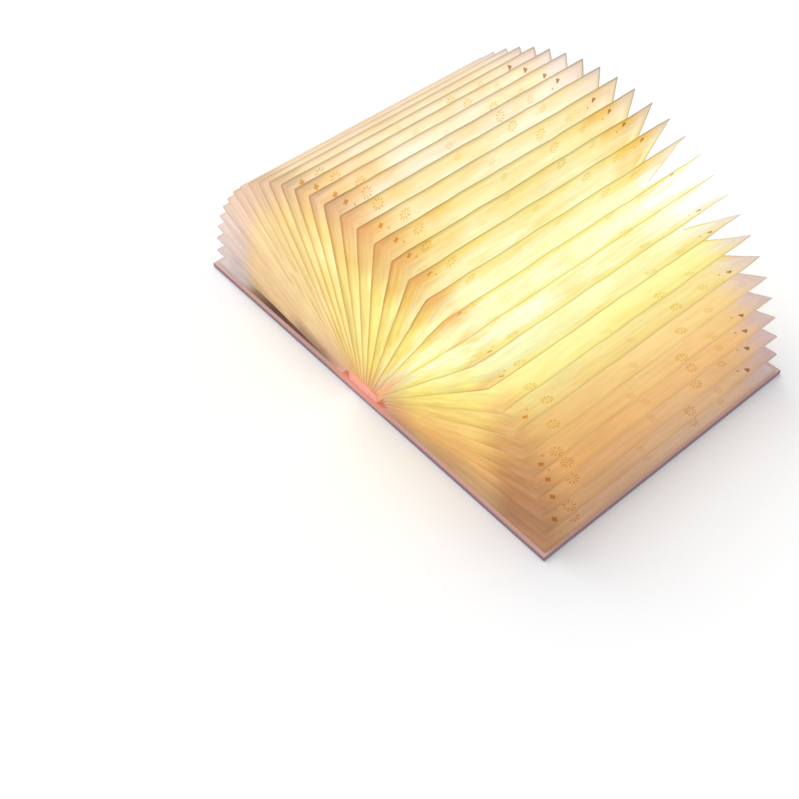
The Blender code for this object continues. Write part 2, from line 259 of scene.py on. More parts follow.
FLOOR_HALF = 3.0
FLOOR_CLEAR = 0.0002  # keeps the table's face just below the case
SHADOW_KEPT = 0.88  # share of the table's look that is lit, near the object
floor_mesh = bpy.data.meshes.new("table")
floor_shape = bmesh.new()
bmesh.ops.create_grid(floor_shape, x_segments=1, y_segments=1, size=FLOOR_HALF)
floor_shape.to_mesh(floor_mesh)
floor_shape.free()
table_white = Finish("table_white", Roughness=0.9)
rays = table_white.add("ShaderNodeLightPath", {}, {})
white_rays = Wire(table_white, rays.outputs["Is Camera Ray"])
white_rays = white_rays.most(Wire(table_white, rays.outputs["Is Glossy Ray"]))
white_rays = white_rays.most(Wire(table_white, rays.outputs["Is Transmission Ray"]))
table_place = table_white.place() / 1000
far = table_white.node("ShaderNodeVectorMath", {"operation": "LENGTH"}, {0: table_place}, 1)
plain_share = 1 - SHADOW_KEPT * far.fall(0.35, 0.9)
grain = table_white.noise(table_place, 900, 3)
# Near the object the white is a little cooler and bluer. This is a painted cool shade that also evens out
# the pages' warm light on the table. Further out it is pure white.
white = table_white.mix(seen(248, 251, 255), seen(253, 254, 255), grain)
table_white.set(Base_Color=table_white.mix(white, seen(255, 255, 255), far.rise(0.13, 0.3)))
table_glow = table_white.add("ShaderNodeEmission", {}, {"Color": (1.0, 1.0, 1.0), "Strength": 1.0})
table_mix = table_white.add("ShaderNodeMixShader", {}, {0: white_rays * plain_share})
table_white.tree.links.new(table_white.shader.outputs[0], table_mix.inputs[1])
table_white.tree.links.new(table_glow.outputs[0], table_mix.inputs[2])
table_white.tree.links.new(table_mix.outputs[0], table_white.tree.nodes["Material Output"].inputs[0])
table = lay("table", floor_mesh, table_white)
table.location.z = -FLOOR_CLEAR

SURROUND = 0.67  # strength of the light from all round
SURROUND_TINT = (0.985, 0.99, 1.0, 1)
world = bpy.data.worlds.new("studio")
bpy.context.scene.world = world
world.use_nodes = True
surround = world.node_tree.nodes["Background"]
surround.inputs["Color"].default_value = SURROUND_TINT
surround.inputs["Strength"].default_value = SURROUND
clean = world.node_tree.nodes.new("ShaderNodeBackground")
clean.inputs["Color"].default_value = (1, 1, 1, 1)
world_rays = world.node_tree.nodes.new("ShaderNodeLightPath")
world_mix = world.node_tree.nodes.new("ShaderNodeMixShader")
seen_white = world_rays.outputs["Is Camera Ray"]
for kind in ("Is Glossy Ray", "Is Transmission Ray"):
    either = world.node_tree.nodes.new("ShaderNodeMath")
    either.operation = "MAXIMUM"
    world.node_tree.links.new(seen_white, either.inputs[0])
    world.node_tree.links.new(world_rays.outputs[kind], either.inputs[1])
    seen_white = either.outputs[0]
world.node_tree.links.new(seen_white, world_mix.inputs[0])
world.node_tree.links.new(surround.outputs[0], world_mix.inputs[1])
world.node_tree.links.new(clean.outputs[0], world_mix.inputs[2])
world.node_tree.links.new(world_mix.outputs[0], world.node_tree.nodes["World Output"].inputs[0])

LAMP_POWER = 1.5
LAMP_SPREAD = 44  # degrees across
LAMP_WAY = (0.62, 0.05, -0.78)  # the way that its light goes
lamp_data = bpy.data.lights.new("lamp", "SUN")
lamp_data.energy = LAMP_POWER
lamp_data.angle = math.radians(LAMP_SPREAD)
lamp = bpy.data.objects.new("lamp", lamp_data)
bpy.context.scene.collection.objects.link(lamp)
lamp.rotation_mode = "QUATERNION"
lamp.rotation_quaternion = Vector(LAMP_WAY).to_track_quat("-Z", "Y")


# The covering cloth
# Dusty rose book cloth, glued round the boards and folded over onto their inner faces. Each half runs from
# the middle of the spine to a fore edge, and its turned-in cloth dips where the boards leave a gap for the
# hinge.
back_hinge = next(joint for joint in frame["joints"] if joint["name"] == "back_cover_hinge")
HINGE_X = back_hinge["pos_m"][0]
CASE_HALF_WIDTH, CASE_HALF_HEIGHT, CASE_TOP = (round(size, 6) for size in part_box("back_cloth")[1])
CLOTH = 0.00035
TURN_IN = 0.0065
EDGE_RADIUS = 0.0008
GROOVE_HALF = round(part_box("back_board")[0].x - HINGE_X, 6)  # hinge line to each board's edge
GROOVE_FLOOR = 0.0009  # top of the turned-in cloth at the bottom of the groove
TOUCHING = 1e-6
TURNED_IN_AT = 1  # where these faces start on the cloth's flat map, in metres; the outer face is at 0
ENDS_AT = 2
FORE_EDGES_AT = 3
OUTER_FACE_TO = 500  # where the outer face and the turned-in strips stop, in mm
TURNED_IN_TO = 1500
FORE_EDGE = CASE_HALF_WIDTH * 1000  # in mm, as finishes measure
HEAD_EDGE = CASE_HALF_HEIGHT * 1000
DRAWING_LEFT = HINGE_X * 1000 + 5
COVER_MIDDLE = (DRAWING_LEFT + FORE_EDGE) / 2
SPINE_PANELS = 5
THREAD_PITCH = 0.42


def groove(x):
    """How far down the hinge gap the inner layers are pressed, 0 on the boards and 1 at its middle."""
    share = 1 - abs(abs(x) - HINGE_X) / GROOVE_HALF
    if share <= 0:
        return 0.0
    return share * share * (3 - 2 * share)


def sharpen_rims(mesh):
    """Marks the open edges of a sheet, so that its thickness turns a hard corner there."""
    uses = [0] * len(mesh.edges)
    numbers = {edge.key: edge.index for edge in mesh.edges}
    for polygon in mesh.polygons:
        for key in polygon.edge_keys:
            uses[numbers[key]] += 1
    for edge in mesh.edges:
        if uses[edge.index] == 1:
            edge.use_edge_sharp = True


def case_skin(name, side, finish):
    """One half of the cloth, from the spine's middle to the fore edge."""
    gap = [HINGE_X + GROOVE_HALF * (step / 5 - 1) for step in range(11)]
    board = [0.030, 0.055, 0.080, 0.105, CASE_HALF_WIDTH - TURN_IN, CASE_HALF_WIDTH]
    across = [0.0, 0.004, 0.008] + gap + board
    inner = CASE_HALF_HEIGHT - TURN_IN
    end = [CASE_HALF_HEIGHT, CASE_HALF_HEIGHT - 0.002, CASE_HALF_HEIGHT - 0.004]
    along = [-y for y in end] + [inner * (step / 6 - 1) for step in range(13)] + end[::-1]
    shape = bmesh.new()
    corners = {}

    def corner(i, j, top):
        if (i, j, top) not in corners:
            z = CASE_TOP if top else 0.0
            corners[i, j, top] = shape.verts.new((side * across[i], along[j], z))
        return corners[i, j, top]

    last_i = len(across) - 1
    last_j = len(along) - 1
    for i in range(last_i):
        for j in range(last_j):
            square = [(i, j), (i + 1, j), (i + 1, j + 1), (i, j + 1)]
            shape.faces.new([corner(*place, False) for place in square])
            if across[i] >= CASE_HALF_WIDTH - TURN_IN - TOUCHING or j < 3 or j >= last_j - 3:
                shape.faces.new([corner(*place, True) for place in square])
    rims = [((i, j), (i + 1, j)) for i in range(last_i) for j in (0, last_j)]
    rims += [((last_i, j), (last_i, j + 1)) for j in range(last_j)]
    for a, b in rims:
        shape.faces.new([corner(*a, False), corner(*b, False), corner(*b, True), corner(*a, True)])
    bmesh.ops.recalc_face_normals(shape, faces=shape.faces)
    outer = []
    for edge in shape.edges:
        a, b = (v.co for v in edge.verts)
        on_end = min(abs(a.y), abs(b.y)) > CASE_HALF_HEIGHT - TOUCHING
        on_fore = min(abs(a.x), abs(b.x)) > CASE_HALF_WIDTH - TOUCHING
        upright = abs(a.z - b.z) > TOUCHING
        if (on_end or on_fore) and (not upright or (on_end and on_fore)):
            outer.append(edge)
    bmesh.ops.bevel(shape, geom=outer, offset=EDGE_RADIUS, segments=3, profile=0.5, affect="EDGES")
    lowest = min(v.co.z for v in shape.verts)
    for v in shape.verts:
        share = (v.co.z - lowest) / CASE_TOP
        inset = min(1.0, (CASE_HALF_HEIGHT - abs(v.co.y)) / TURN_IN)
        v.co.z -= (CASE_TOP - GROOVE_FLOOR) * groove(v.co.x) * share * inset**2
    bmesh.ops.recalc_face_normals(shape, faces=shape.faces)
    middle = Vector((side * 0.07, 0, CASE_TOP / 2))
    widest = max(shape.faces, key=lambda f: f.calc_area())
    if widest.normal.dot(widest.calc_center_median() - middle) < 0:
        bmesh.ops.reverse_faces(shape, faces=shape.faces)
    mesh = bpy.data.meshes.new(name)
    shape.to_mesh(mesh)
    shape.free()
    flat = mesh.uv_layers.new(name="cloth_flat")
    for polygon in mesh.polygons:
        normal = polygon.normal
        for loop in polygon.loop_indices:
            x, y, z = mesh.vertices[mesh.loops[loop].vertex_index].co
            if abs(normal.z) > 0.7:
                spot = (x, y) if normal.z < 0 else (x + TURNED_IN_AT, y)
            elif abs(normal.y) > abs(normal.x):
                spot = (x + ENDS_AT, z)
            else:
                spot = (y + FORE_EDGES_AT, z)
            flat.data[loop].uv = spot
    mesh.shade_smooth()
    mesh.set_sharp_from_angle(angle=math.radians(50))
    sharpen_rims(mesh)
    skin = lay(name, mesh, finish)
    thick = skin.modifiers.new("cloth thickness", "SOLIDIFY")
    thick.thickness = CLOTH
    thick.offset = -1
    return skin


def book_cloth(name, ornament):
    """Fine plain weave, and gold foil where the ornament's mask is 1. The visible strips and edges carry
    painted light and shade: a darker spine, paler turned-in strips with a painted glow near the spine and a
    darker rim, and edges painted dark below and pale on top. On the flat map the outer face lies about 0,
    the turned-in strips about 1000 and the edges from 2000."""
    cloth = Finish(name, Sheen_Weight=0.2, Sheen_Roughness=0.5, Specular_IOR_Level=0.3)
    spot = cloth.flat("cloth_flat")
    x, y, _ = spot.parts()
    inside = x.rise(OUTER_FACE_TO, OUTER_FACE_TO + 1) * x.fall(TURNED_IN_TO, TURNED_IN_TO + 1)
    inside_x = abs(x - TURNED_IN_AT * 1000)
    edge = x.rise(TURNED_IN_TO, TURNED_IN_TO + 1)
    edge_x = abs(x - ENDS_AT * 1000)
    thread = 2 * math.pi / THREAD_PITCH
    warp = (x * thread).sum("SINE")
    weft = (y * thread).sum("SINE")
    weave = warp * weft * 0.5 + 0.5
    slub = cloth.noise(spot * (1.0, 0.12, 1.0), 1.6, 3) + cloth.noise(spot * (0.12, 1.0, 1.0), 1.6, 3)
    cloud = cloth.noise(spot, 0.03, 3, 0.6)
    tone = cloth.mix(seen(168, 132, 132), seen(206, 174, 168), (weave * 0.35 + slub * 0.32).rise(0.15, 0.9))
    tone = cloth.mix(tone, seen(194, 162, 144), cloud.rise(0.35, 0.7) * 0.65)
    # The spine is painted darker, as painted shade.
    spine = abs(x).fall(12.5, 15.5)
    tone = cloth.mix(tone, seen(150, 104, 98), spine * 0.75)
    # The turned-in strips are painted paler and warmer than the outer face. This is painted light from
    # above and from the glowing pages.
    tone = cloth.mix(tone, seen(226, 188, 178), inside * 0.85)
    # A darker rim where the turned-in strips meet the fore and head edges is painted shade.
    rim = inside_x.rise(FORE_EDGE - 1.0, FORE_EDGE - 0.1)
    rim = rim.most(abs(y).rise(HEAD_EDGE - 1.0, HEAD_EDGE - 0.1))
    tone = cloth.mix(tone, seen(150, 116, 130), inside * rim * 0.85)
    # Near the spine the turned-in strips and the upper parts of the edges take a painted salmon glow,
    # standing for the light strip's light.
    warm = inside * inside_x.fall(14, 34) + edge * edge_x.fall(12, 30) * y.rise(1.2, 2.6)
    tone = cloth.mix(tone, seen(236, 168, 152), warm * 0.8)
    # Each edge is painted dark at the bottom, a painted shadow where it meets the table, and pale at the
    # top, a painted highlight. This noise only varies the highlight.
    wear_and_highlight_waver = cloth.noise(spot, 0.5, 4).rise(0.42, 0.7)
    edge_tone = cloth.mix(seen(98, 70, 84), seen(150, 118, 132), y.rise(0.2, 1.5))
    edge_tone = cloth.mix(edge_tone, seen(214, 178, 176), y.rise(2.8, 3.2) * (0.85 + wear_and_highlight_waver * 0.15))
    tone = cloth.mix(tone, edge_tone, edge * (1 - warm * 0.6))
    foil = ornament(x, y) * cloth.noise(spot, 2.2, 3).rise(0.2, 0.36)
    gold = cloth.mix(seen(214, 184, 118), seen(240, 224, 168), cloth.noise(spot, 0.12, 2))
    cloth.set(
        Base_Color=cloth.mix(tone, gold, foil),
        Roughness=0.82 - foil * 0.47,
        Metallic=foil * 0.85,
    )
    cloth.bump(weave * (1 - foil * 0.7) + slub * 0.6 - foil * 0.4, 0.06, 0.8)
    return cloth


def rule_frame(x, y, side, inset, width):
    """A rectangular rule on a cover, this far in from the board's edges."""
    left = DRAWING_LEFT + inset
    right = FORE_EDGE - inset
    top = HEAD_EDGE - inset
    from_middle_x = abs(x * side - (left + right) / 2) - (right - left) / 2
    from_middle_y = abs(y) - top
    return from_middle_x.most(from_middle_y).line(0, width)


def double_rule(x, y, side):
    """A broad rule round a cover with a thin one inside it."""
    return rule_frame(x, y, side, 9.0, 0.9).most(rule_frame(x, y, side, 11.2, 0.4))


def turn(x, y):
    """The angle of a point round the middle."""
    return y.sum("ARCTAN2", x)


def spine_bands(x, y):
    """Pairs of rules round the spine, with a small lozenge in each panel between them."""
    step = 2 * HEAD_EDGE / SPINE_PANELS
    along = (y + HEAD_EDGE).sum("MODULO", step) - step / 2
    rules = abs(along).line(15.4, 0.8).most(abs(along).line(13.6, 0.4))
    lozenge = (abs(x) * 0.9 + abs(along) * 0.55).line(3.6, 0.6)
    seed = (abs(x) + abs(along) * 0.6).fall(0.9, 1.1)
    return rules.most(lozenge).most(seed) * abs(x).fall(12.0, 12.3)


def on_outside(x, y, drawing):
    """A cover's drawing, kept to the outer face, with the spine's bands beside it."""
    return (drawing * (x - OUTER_FACE_TO).fall(-1.0, 0.0)).most(spine_bands(x, y))


def front_ornament(x, y):
    """A sunburst in rings, fans in the corners and scattered four-pointed stars, inside a double rule."""
    across = -x - COVER_MIDDLE
    far = (across * across + y * y) ** 0.5
    angle = turn(across, y)
    drawing = double_rule(x, y, -1)
    between_corners = abs(y).fall(50.0, 50.2).most(abs(across).fall(26.0, 26.2))
    drawing = drawing.most(rule_frame(x, y, -1, 18.5, 0.4) * between_corners)
    for radius, width in ((34.0, 0.5), (32.2, 0.9), (21.0, 0.5), (9.0, 0.7)):
        drawing = drawing.most(far.line(radius, width))
    rings_of_rays = ((36, 22.2, 31.0, 0.30), (18, 35.5, 42.0, 0.22), (72, 35.5, 38.5, 0.35))
    for count, inner, outer, share in rings_of_rays:
        wave = (angle * count).sum("COSINE")
        taper = 1 - far.rise(inner - 1, outer) * 0.85
        ray = (wave - (1 - share * taper)).rise(0.0, 0.06)
        drawing = drawing.most(ray * far.rise(inner, inner + 0.1) * far.fall(outer, outer + 0.1))
    petal = abs((angle * 4).sum("COSINE")) ** 0.7 * 9.5 + 9.8
    drawing = drawing.most((far - petal).line(0, 0.6, 0.15))
    drawing = drawing.most((far - petal * 0.78).line(0, 0.35) * far.rise(9.4, 9.6))
    heart = (angle * 12).sum("COSINE") * 0.9 + 4.0
    drawing = drawing.most(far.fall(5.2, 5.4) * (heart - far).rise(0, 0.3))
    corner_x = abs(across) - 47.0
    corner_y = abs(y) - 76.0
    corner_far = (corner_x * corner_x + corner_y * corner_y) ** 0.5
    corner_angle = turn(corner_x, corner_y)
    in_corner = corner_x.fall(2.6, 2.8) * corner_y.fall(2.6, 2.8)
    for radius, width in ((6.0, 0.6), (13.0, 0.4), (20.0, 0.8)):
        arc = corner_far.line(radius, width) * corner_far.fall(20.6, 20.8)
        drawing = drawing.most(arc * in_corner)
    fan = ((corner_angle * 24).sum("COSINE") - 0.72).rise(0.0, 0.1)
    fan = fan * corner_far.rise(6.6, 6.8) * corner_far.fall(19.2, 19.4)
    drawing = drawing.most(fan * in_corner)
    cell = 11.0
    star_x = (across + 5.5 + 220).sum("MODULO", cell) - cell / 2
    star_y = (y + 220).sum("MODULO", cell) - cell / 2
    star = (abs(star_x) ** 0.5 + abs(star_y) ** 0.5).fall(1.15, 1.3)
    field = abs(y).rise(44.0, 44.2) * abs(y).fall(70.0, 70.2) * abs(across).fall(30.0, 30.2)
    drawing = drawing.most(star * field)
    bar = abs(abs(y) - 57.5).line(9.5, 0.4) * abs(across).fall(22.0, 22.2)
    drawing = drawing.most(bar)
    return on_outside(x, y, drawing)


def back_ornament(x, y):
    """A plain double rule with a small ring and star in the middle."""
    across = x - COVER_MIDDLE
    far = (across * across + y * y) ** 0.5
    drawing = double_rule(x, y, 1)
    drawing = drawing.most(far.line(9.0, 0.6)).most(far.line(7.6, 0.3))
    drawing = drawing.most((abs(across) ** 0.5 + abs(y) ** 0.5).fall(2.2, 2.35))
    return on_outside(x, y, drawing)


for side, body, ornament in ((-1, "front_cover", front_ornament), (1, "back_cover", back_ornament)):
    label = body.split("_")[0]
    skin = case_skin(label + "_case_cloth", side, book_cloth(label + "_book_cloth", ornament))
    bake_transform(skin)
    if side < 0:
        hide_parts("front_cloth", "spine_cloth")
    else:
        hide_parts("back_cloth")


# The boards and their magnets
# Greyboard cut with a guillotine, hidden by the cloth but for its cut edges in the hinge gaps. A flat
# nickel-plated magnet sits in a pocket near each fore edge.
greyboard = Finish("greyboard", Specular_IOR_Level=0.2)
board_place = greyboard.place()
layers = greyboard.noise(board_place * (0.05, 0.05, 1.0), 4.0, 3)
flecks = greyboard.noise(board_place, 2.4, 4).rise(0.62, 0.7)
board_tone = greyboard.mix(seen(150, 145, 137), seen(176, 171, 162), layers)
greyboard.set(
    Base_Color=greyboard.mix(board_tone, seen(110, 104, 98), flecks * 0.6),
    Roughness=0.86 + layers * 0.1,
)
greyboard.bump(layers + flecks * 0.5, 0.08)
coat(greyboard, "front_board", "back_board", "spine_board")

nickel = Finish("nickel_plate", Metallic=1.0)
scratch = nickel.noise(nickel.place() * (1.0, 8.0, 1.0), 1.5, 4)
nickel.set(
    Base_Color=nickel.mix(seen(196, 196, 196), seen(226, 225, 222), scratch),
    Roughness=0.22 + scratch * 0.22,
)
nickel.bump(scratch, 0.004)
coat(nickel, "front_magnet", "back_magnet")


# The lining
# Matt rose endpaper glued inside the covers and the spine. Between the boards it is pressed down into the
# hinge gap, where the book folds when it shuts.
ENDPAPER = 0.00016
ENDPAPER_MIDDLE = CASE_TOP + 0.00012  # halfway through the strip, where it lies on a board


def endpaper(name):
    """Matt rose paper with fine fibres. Near the spine it has a painted salmon tint and a painted glow for
    the light of the strip.
    """
    paper = Finish(name, Specular_IOR_Level=0.25)
    place = paper.place()
    fibre = paper.noise(place, 1.8, 5, 0.65)
    long_fibre = paper.noise(place * (1.0, 0.15, 1.0), 2.6, 3)
    tone = paper.mix(seen(196, 156, 152), seen(222, 186, 180), fibre)
    x, y, _ = place.parts()
    near = abs(x).fall(14.0, 34.0)
    paper.set(
        Base_Color=paper.mix(tone, seen(232, 170, 140), near * 0.6),
        Roughness=0.78 + long_fibre * 0.15,
        Emission_Color=paper.mix((0.0, 0.0, 0.0), seen(206, 112, 78), near * (0.6 + fibre * 0.4)),
        Emission_Strength=0.55,
    )
    return paper.bump(fibre * 0.6 + long_fibre, 0.03)


rose_endpaper = endpaper("rose_endpaper")
coat(rose_endpaper, "front_lining", "back_lining", "spine_lining")


def hinge_lining(name, side, finish):
    """The strip of endpaper that dips into the gap between the spine board and a cover board."""
    shape = bmesh.new()
    half = CASE_HALF_HEIGHT - TURN_IN - 0.0001
    reach = GROOVE_HALF + 0.0012
    rows = 18
    columns = 24
    grid = []
    for row in range(rows + 1):
        y = half * (2 * row / rows - 1)
        line = []
        for column in range(columns + 1):
            x = HINGE_X + reach * (2 * column / columns - 1)
            pucker = 0.00005 * math.sin(y * 420 + column) * groove(x)
            z = ENDPAPER_MIDDLE - (ENDPAPER_MIDDLE - GROOVE_FLOOR + 0.0002) * groove(x) + pucker
            line.append(shape.verts.new((side * x, y, z)))
        grid.append(line)
    for low, high in zip(grid, grid[1:]):
        for a, b, c, d in zip(low, low[1:], high[1:], high):
            shape.faces.new((a, b, c, d) if side > 0 else (d, c, b, a))
    mesh = bpy.data.meshes.new(name)
    shape.to_mesh(mesh)
    shape.free()
    mesh.shade_smooth()
    strip = lay(name, mesh, finish)
    thick = strip.modifiers.new("paper thickness", "SOLIDIFY")
    thick.thickness = ENDPAPER
    thick.offset = 0
    return strip


for side, body in ((-1, "front_cover"), (1, "back_cover")):
    strip = hinge_lining(body.split("_")[0] + "_hinge_lining", side, rose_endpaper)
    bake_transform(strip)


# The pleated pages
# One long sheet of tough translucent paper, folded up and down in a fan from cover to cover. Each fold
# is a thin crest round three sides of the page, and the valleys between the crests lie a little
# inside. The sheet is modelled a fold at a time, from valley to crest to valley.
LEAF_COUNT = 32
PANEL_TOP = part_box("front_end_panel")[1].z
PANEL_MIDDLE = (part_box("front_end_panel")[0].z + PANEL_TOP) / 2
PAGE_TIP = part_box("back_end_panel")[1].x - HINGE_X  # hinge line to the crest at the fore edge
PAGE_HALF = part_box("back_end_panel")[1].y
PAGE_END = PAGE_HALF * 1000
HOUSING_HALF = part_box("led_housing")[1].x
HOUSING_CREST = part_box("led_housing")[1].z
HOUSING_SHOULDER = 0.0088  # where the housing's crown meets its sides
ROOT_CLEAR = 0.0006  # housing to page
VALLEY_INSET = 0.021
SHEET = 0.00016
CREST_RADIUS = 0.0008
VALLEY_RADIUS = CREST_RADIUS * 0.7
CREST_WAVER = 0.00035
VALLEY_WAVER = 0.0006
WALL_SWELL = 0.16  # how much a fold's walls bulge
WALL_CURVE = 1.3
FOLDS_A_SIDE = (LEAF_COUNT + 1) / 2  # from the middle to a cover
MID_PAGE = 0.08  # hinge line to a place well inside a page
WALL_STEPS = 5
SIDE_STEPS = 11
CORNER_STEPS = 3
FORE_STEPS = 20
WELD = 0.00002  # points of one sheet this close are one point
PASTED_DEPTH = 0.00014  # the pasted panels' place on the fold's flat map, crest 0 and valley 0.001


def fold_share(index):
    """The share of the way from the middle to a cover of a crest, counted from the front cover."""
    return (index - FOLDS_A_SIDE) / FOLDS_A_SIDE


def page_point(share, radius, y, off=0.0):
    """A point on the page at this share of the way from the middle (0) to a cover (-1 or 1)."""
    side = -1 if share < 0 else 1
    lift = (1 - abs(share)) * math.pi / 2
    out = PANEL_TOP * abs(share) - off * side
    x = HINGE_X * share + side * (radius * math.cos(lift) - out * math.sin(lift))
    return Vector((x, y, radius * math.sin(lift) + out * math.cos(lift)))


def root_radius(share):
    """Where a page starts, just above the crowned housing."""
    sagitta = HOUSING_CREST - HOUSING_SHOULDER
    crown = (HOUSING_HALF**2 + sagitta**2) / (2 * sagitta)
    shut_x = HOUSING_HALF * abs(share)
    return HOUSING_CREST - crown + math.sqrt(crown**2 - shut_x**2) + ROOT_CLEAR


def outline(root, tip, half, radius):
    """(distance from the spine, y, length so far) round three sides, from root to root."""
    points = []
    for step in range(SIDE_STEPS):
        points.append((root + (tip - radius - root) * step / SIDE_STEPS, -half))
    for step in range(CORNER_STEPS + 1):
        a = math.pi / 2 * step / CORNER_STEPS
        points.append((tip - radius + radius * math.sin(a), -half + radius - radius * math.cos(a)))
    for step in range(1, FORE_STEPS):
        points.append((tip, (half - radius) * (2 * step / FORE_STEPS - 1)))
    points += [(r, -y) for r, y in reversed(points[: SIDE_STEPS + CORNER_STEPS + 1])]
    length = 0.0
    measured = []
    for index, (r, y) in enumerate(points):
        if index:
            length += math.dist((r, y), points[index - 1])
        measured.append((r, y, length))
    return measured


def ripple(index, length, amount):
    """The small waver of a fold's line, the same for the two walls that share it."""
    draw = random.Random(7000 + int(round(index * 2)))
    total = 0.0
    for wave in (95, 41, 23):
        phase = draw.uniform(0, 6.28)
        total += math.sin(length * 2 * math.pi * 1000 / wave + phase) * draw.uniform(0.4, 1.0)
    return amount * total / 2


def crest_line(share):
    """The outer line of a fold, round three sides of the page."""
    return outline(root_radius(share), PAGE_TIP, PAGE_HALF, CREST_RADIUS)


def valley_line(share):
    """The inner line between two folds."""
    return outline(root_radius(share), PAGE_TIP - VALLEY_INSET, PAGE_HALF - VALLEY_INSET, VALLEY_RADIUS)


def fold_points(index, side):
    """Rows of points from a crest (index in whole steps from the front cover) to the valley beside it."""
    share = fold_share(index)
    valley_index = index + side / 2
    valley_share = fold_share(valley_index)
    rows = []
    for (r0, y0, length), (r1, y1, _) in zip(crest_line(share), valley_line(valley_share)):
        spread = min(1.0, r0 / PAGE_TIP)
        wave = 0.0 if index in (0, LEAF_COUNT + 1) else ripple(index, length, CREST_WAVER) * spread
        crest = page_point(share, r0, y0, wave)
        valley = page_point(valley_share, r1, y1, ripple(valley_index, length, VALLEY_WAVER) * spread)
        between = ((r0 + r1) / 2, (y0 + y1) / 2)
        swell = page_point(valley_share, *between) - page_point(share, *between)
        swell *= -WALL_SWELL
        row = []
        for step in range(WALL_STEPS + 1):
            t = (step / WALL_STEPS) ** WALL_CURVE
            row.append((crest.lerp(valley, t) + swell * math.sin(math.pi * t), (length, t)))
        rows.append(row)
    return rows


def wall(shape, flat, rows, flip):
    """One side of a fold. Its flat map has the length round the page and the depth below the crest."""
    grid = [[shape.verts.new(point) for point, _ in row] for row in rows]
    for i in range(len(grid) - 1):
        for j in range(len(grid[0]) - 1):
            around = [(i, j), (i + 1, j), (i + 1, j + 1), (i, j + 1)]
            if flip:
                around.reverse()
            face = shape.faces.new([grid[a][b] for a, b in around])
            face.smooth = True
            for loop, (a, b) in zip(face.loops, around):
                length, t = rows[a][b][1]
                loop[flat].uv = (length, t / 1000)


def paper_piece(name, walls, finish, extra=None):
    """Walls joined into one thin sheet of paper, with what extra adds to them."""
    shape = bmesh.new()
    flat = shape.loops.layers.uv.new("fold_flat")
    for rows, flip in walls:
        wall(shape, flat, rows, flip)
    if extra:
        extra(shape, flat)
    bmesh.ops.remove_doubles(shape, verts=shape.verts, dist=WELD)
    mesh = bpy.data.meshes.new(name)
    shape.to_mesh(mesh)
    shape.free()
    mesh.set_sharp_from_angle(angle=math.radians(60))
    piece = lay(name, mesh, finish)
    thick = piece.modifiers.new("sheet thickness", "SOLIDIFY")
    thick.thickness = SHEET
    thick.offset = 0
    return piece


